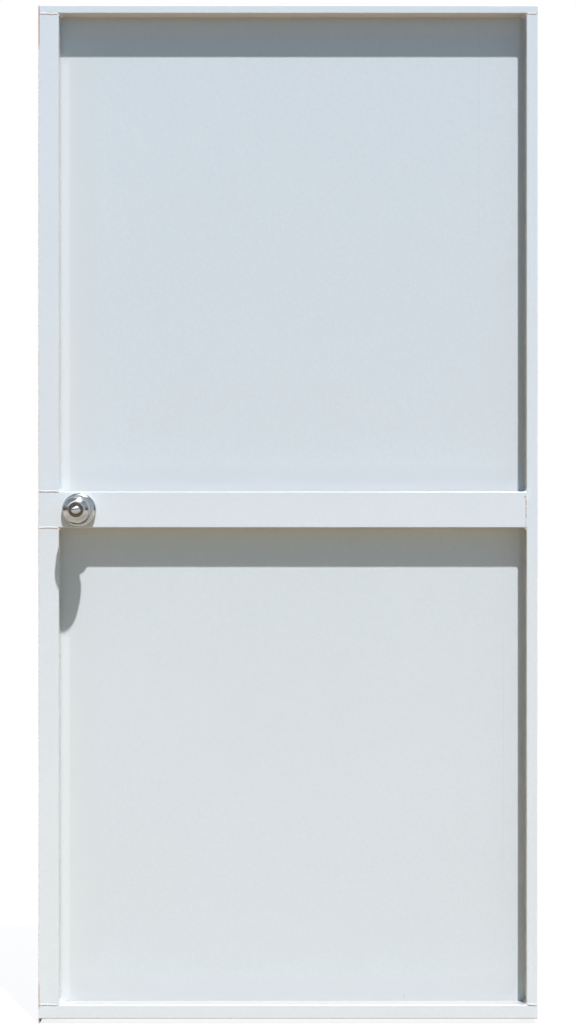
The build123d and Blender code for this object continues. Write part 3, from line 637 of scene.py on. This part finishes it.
def buttonPoints(button):
    # height over an oval: a dome that falls by a power of the share of the way out, steepest at the rim,
    # with the rings closer together towards the rim
    share = np.linspace(0, 1, button["rings"])[1:] ** button["crowding"]
    angle = np.linspace(0, 2 * math.pi, button["spokes"], endpoint=False)
    rho, a = np.meshgrid(share, angle, indexing="ij")
    u, v = rho * button["halfLength"] * np.cos(a), rho * button["halfHeight"] * np.sin(a)
    power, rise = button["fullness"], button["top"] - button["foot"]
    height = button["foot"] + rise * (1 - rho**power) ** (1 / power)
    skirt = np.stack([u[-1], v[-1], np.full_like(u[-1], button["foot"])], axis=-1)
    grid = np.concatenate([np.stack([u, v, height], axis=-1), skirt[None]], axis=0)
    ends = np.array([[0, 0, button["top"]], [0, 0, button["foot"]]])
    across, up, out = np.vstack([grid.reshape(-1, 3), ends]).T
    x, z = lockset["place"][0] + across, lockset["place"][1] + up
    return np.stack([x, lockset["frontFace"] - out, z], axis=-1) / metre


def buttonFaces(button):
    # quads between the rings, and a fan of triangles about the middle of the top and of the foot
    rows, cols = button["rings"], button["spokes"]
    quads = gridFaces(rows, cols, False, True)[:, ::-1]
    first = np.arange(cols)
    second = (first + 1) % cols
    top = np.stack([np.full(cols, rows * cols), second, first], axis=-1)
    low = (rows - 1) * cols
    foot = np.stack([np.full(cols, rows * cols + 1), low + first, low + second], axis=-1)
    return quads.tolist() + top.tolist() + foot.tolist()


grip = meshPiece(
    "turn_button_grip", buttonPoints(turnButton), buttonFaces(turnButton), polishedSteel,
    turnButton["smoothAngle"],
)
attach(grip, "lock")
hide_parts("turn_button")
print("lockset turned")

# latch spring: a wire coil along the length of the spring's part
coil = {"radius": 4.2, "wire": 0.55, "turns": 8, "perTurn": 48, "around": 12, "smoothAngle": 60.0}


def coilPoints(coil, start, end):
    # a round wire carried along a coil about the X direction, its angle growing evenly with the length
    turn = np.linspace(0, 2 * math.pi * coil["turns"], coil["turns"] * coil["perTurn"] + 1)
    lead = (end - start) / turn[-1]
    outward = np.stack([0 * turn, np.sin(turn), -np.cos(turn)], axis=-1)
    sweepY, sweepZ = coil["radius"] * np.cos(turn), coil["radius"] * np.sin(turn)
    heading = np.stack([0 * turn + lead, sweepY, sweepZ], axis=-1)
    heading = heading / np.linalg.norm(heading, axis=1)[:, None]
    beside = np.cross(heading, outward)
    middle = np.stack([start + lead * turn, 0 * turn, 0 * turn + lockset["place"][1]], axis=-1)
    around = np.linspace(0, 2 * math.pi, coil["around"], endpoint=False)[None, :, None]
    ring = np.cos(around) * outward[:, None, :] + np.sin(around) * beside[:, None, :]
    return (middle[:, None, :] + coil["radius"] * outward[:, None, :] + coil["wire"] * ring) / metre


springLow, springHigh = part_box("latch_spring")
springStart, springStop = springLow.x * metre + coil["wire"], springHigh.x * metre - coil["wire"]
springPoints, springFaces = joinParts([coilPoints(coil, springStart, springStop)])
spring = meshPiece("latch_spring_coil", springPoints, springFaces, platedSteel, coil["smoothAngle"])
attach(spring, "leaf")
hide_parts("latch_spring")
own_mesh(spring)

# painted-over weld beads along the seams of the border, as runs from one point of the front to another
beads = {
    "front": lockset["frontFace"], "halfWidth": 1.9, "rise": 0.55, "sunk": 1.4, "ripple": 0.26,
    "pitch": 3.1, "sway": 0.5, "swayLength": 5.0, "taper": 12.0, "tip": 0.04, "phase": 1.3,
    "around": 14, "step": 0.6, "smoothAngle": 60.0,
    "runs": (
        ((-498.6, 2023.1), (-459.8, 2022.7)), ((478.6, 2022.9), (498.6, 2023.2)),
        ((-498.6, 1066.6), (-459.8, 1066.0)), ((-498.6, 994.0), (-459.8, 993.6)),
        ((-498.6, 38.2), (-459.8, 38.4)), ((478.6, 38.3), (498.6, 38.1)),
        ((477.4, 995.0), (477.7, 1065.0)),
    ),
}


def beadPoints(run, bead, phase):
    # an oval carried along a straight run, swelling with the ripple, swaying from side to side,
    # and closing in at both ends by the root of a parabola
    start, end = np.asarray(run, float)
    length = float(np.hypot(*(end - start)))
    along = np.linspace(0, 1, int(length / bead["step"]))
    turn = np.linspace(0, 2 * math.pi, bead["around"], endpoint=False)
    swell = 1 + bead["ripple"] * np.sin(2 * math.pi * along * length / bead["pitch"] + phase)
    closing = np.clip(4 * along * (1 - along) * length / bead["taper"], bead["tip"], 1) ** 0.5
    swell = (swell * closing)[:, None]
    sway = bead["sway"] * np.sin(along * length / bead["swayLength"] + phase)[:, None]
    heading = (end - start) / length
    across = np.array([-heading[1], heading[0]])
    centre = start + along[:, None] * (end - start)
    aside = bead["halfWidth"] * swell * np.cos(turn) + sway
    up = np.sin(turn)[None, :]
    depth = np.where(up > 0, bead["rise"], bead["sunk"]) * up * swell
    x = centre[:, :1] + aside * across[0]
    z = centre[:, 1:] + aside * across[1]
    return np.stack([x, bead["front"] - depth, z], axis=-1) / metre


seamParts = [beadPoints(run, beads, beads["phase"] * index) for index, run in enumerate(beads["runs"])]
seamPoints, seamFaces = joinParts(seamParts)
seamBeads = meshPiece("seam_weld_beads", seamPoints, seamFaces, tubePaint, beads["smoothAngle"])
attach(seamBeads, "leaf")

# weld fillets in the inner corners of the recesses: where the corner is, and which way it opens
corners = [
    (x * metre, z * metre, openX, openZ)
    for x, openX in ((rightInner, -1), (leftInner, 1))
    for z, openZ in ((topSeam, -1), (lockTop, 1), (lockFoot, -1), (footSeam, 1))
]
fillets = {
    "front": -18.6, "back": 18.7, "leg": 6.5, "buried": 0.06, "phase": 0.9, "steps": 24, "around": 10,
    "smoothAngle": 50.0,
    "uneven": ((0.1, 2.3, 1), (0.06, 0.9, 2)),  # share of the leg, length of the wave, times the phase
}


def filletPoints(corner, fillet, phase):
    # a concave quarter profile between two walls, carried along the depth, with a leg that wavers
    cornerX, cornerZ, openX, openZ = corner
    depth = np.linspace(fillet["front"], fillet["back"], fillet["steps"])[:, None]
    waver = sum(share * np.sin(depth / length + times * phase) for share, length, times in fillet["uneven"])
    leg = fillet["leg"] * (1 + waver)
    turn = np.linspace(0, math.pi / 2, fillet["around"])
    bow = np.stack([1 - np.sin(turn), 1 - np.cos(turn)], axis=-1)
    ring = np.vstack([bow, [[-fillet["buried"], -fillet["buried"]]]])
    if openX * openZ > 0:
        ring = ring[::-1]
    x = cornerX + openX * leg * ring[:, 0]
    z = cornerZ + openZ * leg * ring[:, 1]
    return np.stack([x, depth + 0 * x, z], axis=-1) / metre


cornerParts = [
    filletPoints(corner, fillets, fillets["phase"] * index) for index, corner in enumerate(corners)
]
cornerPoints, cornerFaces = joinParts(cornerParts)
cornerWelds = meshPiece("corner_weld_fillets", cornerPoints, cornerFaces, tubePaint, fillets["smoothAngle"])
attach(cornerWelds, "leaf")
print("welds laid:", len(seamParts), "beads,", len(cornerParts), "fillets")

# stage: a sandy floor that shows as a white sheet, in an open white surround
floorSheet = {
    "halfSize": 30.0, "drop": 0.0005, "smoothAngle": 30.0, "glow": 0.88, "sheet": (0.11, 0.11, 0.11, 1.0),
    "foot": (0.352, 0.274, 0.188, 1.0), "footReach": (0.45, 1.1), "farReach": (1.8, 3.6),
    "near": (0.412, 0.276, 0.116, 1.0), "far": (0.13, 0.122, 0.14, 1.0),
    "mirrorNear": (0.33, 0.285, 0.21, 1.0), "mirrorFar": (0.44, 0.385, 0.34, 1.0),
}


def floorMaterial(sand):
    # a glowing white sheet to the camera, and to all other rays a sand whose colour goes by the distance
    # from the door: one set of colours for reflections and one for the light that it throws back
    material = bpy.data.materials.new("floorSheet")
    material.use_nodes = True
    tree = material.node_tree
    tree.nodes.clear()
    path = tree.nodes.new("ShaderNodeLightPath").outputs
    reach = tree.nodes.new("ShaderNodeVectorMath")
    reach.operation = "LENGTH"
    tree.links.new(tree.nodes.new("ShaderNodeTexCoord").outputs["Object"], reach.inputs[0])
    beyond = remap(tree, reach.outputs["Value"], sand["farReach"])
    atFoot = remap(tree, reach.outputs["Value"], sand["footReach"], (1.0, 0.0))
    bounced = mixColour(tree, atFoot, mixColour(tree, beyond, sand["near"], sand["far"]), sand["foot"])
    mirrored = mixColour(tree, beyond, sand["mirrorNear"], sand["mirrorFar"])
    ground = tree.nodes.new("ShaderNodeBsdfDiffuse")
    tree.links.new(mixColour(tree, path["Is Glossy Ray"], bounced, mirrored), ground.inputs["Color"])
    sheet = tree.nodes.new("ShaderNodeBsdfDiffuse")
    sheet.inputs["Color"].default_value = sand["sheet"]
    glow = tree.nodes.new("ShaderNodeEmission")
    glow.inputs["Strength"].default_value = sand["glow"]
    seen = tree.nodes.new("ShaderNodeAddShader")
    tree.links.new(sheet.outputs[0], seen.inputs[0])
    tree.links.new(glow.outputs[0], seen.inputs[1])
    mix = tree.nodes.new("ShaderNodeMixShader")
    tree.links.new(path["Is Camera Ray"], mix.inputs["Fac"])
    tree.links.new(ground.outputs[0], mix.inputs[1])
    tree.links.new(seen.outputs[0], mix.inputs[2])
    out = tree.nodes.new("ShaderNodeOutputMaterial")
    tree.links.new(mix.outputs[0], out.inputs["Surface"])
    return material


floorEnds = np.array([-floorSheet["halfSize"], floorSheet["halfSize"]])
floorX, floorY = np.meshgrid(floorEnds, floorEnds, indexing="ij")
floorPoints = np.stack([floorX, floorY, np.full_like(floorX, -floorSheet["drop"])], axis=-1)
floorFaces = gridFaces(len(floorEnds), len(floorEnds), False, False)[:, ::-1].tolist()
floor = meshPiece("floor", floorPoints, floorFaces, floorMaterial(floorSheet), floorSheet["smoothAngle"])

# the spans are of the direction's X for what lies to the side and of its Z for what lies up
surround = {
    "white": (1.0, 1.0, 1.0, 1.0), "strength": 1.0,
    "fillLeft": (0.095, 0.172, 0.265, 1.0), "fillRight": (0.29, 0.49, 0.63, 1.0), "fillSpan": (-0.9, 0.9),
    "skyLow": (0.55, 0.62, 0.66, 1.0), "skyHigh": (0.26, 0.31, 0.36, 1.0), "skySpan": (0.05, 0.8),
    "skyline": (0.13, 0.115, 0.11, 1.0), "leftward": (0.15, -0.55), "rightward": (0.62, 0.85),
    "lowDown": (0.38, 0.12),
    "glare": (1.45, 1.46, 1.47, 1.0), "glareLean": 1.0, "glareStart": -0.68, "glareWidth": (0.42, 0.28),
    "glareLow": (0.18, 0.30),
}


def surroundColour(tree, look):
    # white to the camera; to reflections a sky that darkens upwards, with a dark skyline at both sides
    # and a slanting band of glare; to all other rays a fill that grows from left to right
    path = tree.nodes.new("ShaderNodeLightPath").outputs
    towards = split(tree, tree.nodes.new("ShaderNodeTexCoord").outputs["Generated"])
    fill = mixColour(tree, remap(tree, towards["X"], look["fillSpan"]), look["fillLeft"], look["fillRight"])
    sky = mixColour(tree, remap(tree, towards["Z"], look["skySpan"]), look["skyLow"], look["skyHigh"])
    leftward = remap(tree, towards["X"], look["leftward"])
    rightward = remap(tree, towards["X"], look["rightward"])
    sideways = mathNode(tree, "MAXIMUM", leftward, rightward)
    skyline = mathNode(tree, "MULTIPLY", sideways, remap(tree, towards["Z"], look["lowDown"]))
    mirror = mixColour(tree, skyline, sky, look["skyline"])
    middle = mathNode(tree, "MULTIPLY_ADD", towards["Z"], look["glareLean"], look["glareStart"])
    beside = mathNode(tree, "ABSOLUTE", mathNode(tree, "SUBTRACT", towards["X"], middle))
    glare = remap(tree, beside, look["glareWidth"])
    glare = mathNode(tree, "MULTIPLY", glare, remap(tree, towards["Z"], look["glareLow"]))
    mirror = mixColour(tree, glare, mirror, look["glare"])
    shine = mathNode(tree, "MAXIMUM", path["Is Glossy Ray"], path["Is Transmission Ray"])
    return mixColour(tree, path["Is Camera Ray"], mixColour(tree, shine, fill, mirror), look["white"])


world = bpy.data.worlds.new("surround")
scene.world = world
world.use_nodes = True
background = world.node_tree.nodes["Background"]
world.node_tree.links.new(surroundColour(world.node_tree, surround), background.inputs["Color"])
background.inputs["Strength"].default_value = surround["strength"]


def addLamp(name, kind, power, towards):
    # a lamp that shines against the direction given: tipped by its angle from upright, then swung about Z
    lamp = bpy.data.lights.new(name, kind)
    lamp.energy = power
    x, y, z = np.array(towards) / np.linalg.norm(towards)
    holder = bpy.data.objects.new(name, lamp)
    holder.rotation_euler = (math.acos(z), 0.0, math.atan2(x, -y))
    scene.collection.objects.link(holder)
    return holder


keyLamp = {"strength": 5.3, "colour": (1.0, 0.957, 0.955), "angle": 1.2, "towards": (0.145, -0.40, 0.838)}
key = addLamp("keyLamp", "SUN", keyLamp["strength"], keyLamp["towards"])
key.data.color = keyLamp["colour"]
key.data.angle = math.radians(keyLamp["angle"])

backLamp = {"power": 260.0, "size": 3.0, "place": (-1.6, 4.6, 2.9), "aim": (0.0, 0.0, 1.0)}
rear = addLamp("backLamp", "AREA", backLamp["power"], np.subtract(backLamp["place"], backLamp["aim"]))
rear.data.size = backLamp["size"]
rear.location = backLamp["place"]

# camera: level and square to the leaf, its frame set by the leaf's height in the picture
viewer = {
    "distance": 4.4, "front": -0.02, "centre": (0.0, 1.025), "tallView": 2.0505, "sensor": 36.0,
    "clip": 100.0,
}
camera = bpy.data.objects.new("camera", bpy.data.cameras.new("camera"))
camera.data.sensor_fit = "VERTICAL"
camera.data.sensor_height = viewer["sensor"]
camera.data.lens = viewer["sensor"] * viewer["distance"] / viewer["tallView"]
camera.data.clip_end = viewer["clip"]
camera.location = (viewer["centre"][0], viewer["front"] - viewer["distance"], viewer["centre"][1])
camera.rotation_euler = (math.pi / 2, 0.0, 0.0)
scene.collection.objects.link(camera)
scene.camera = camera
scene.view_settings.view_transform = "Standard"
print("stage, lamps and camera set")
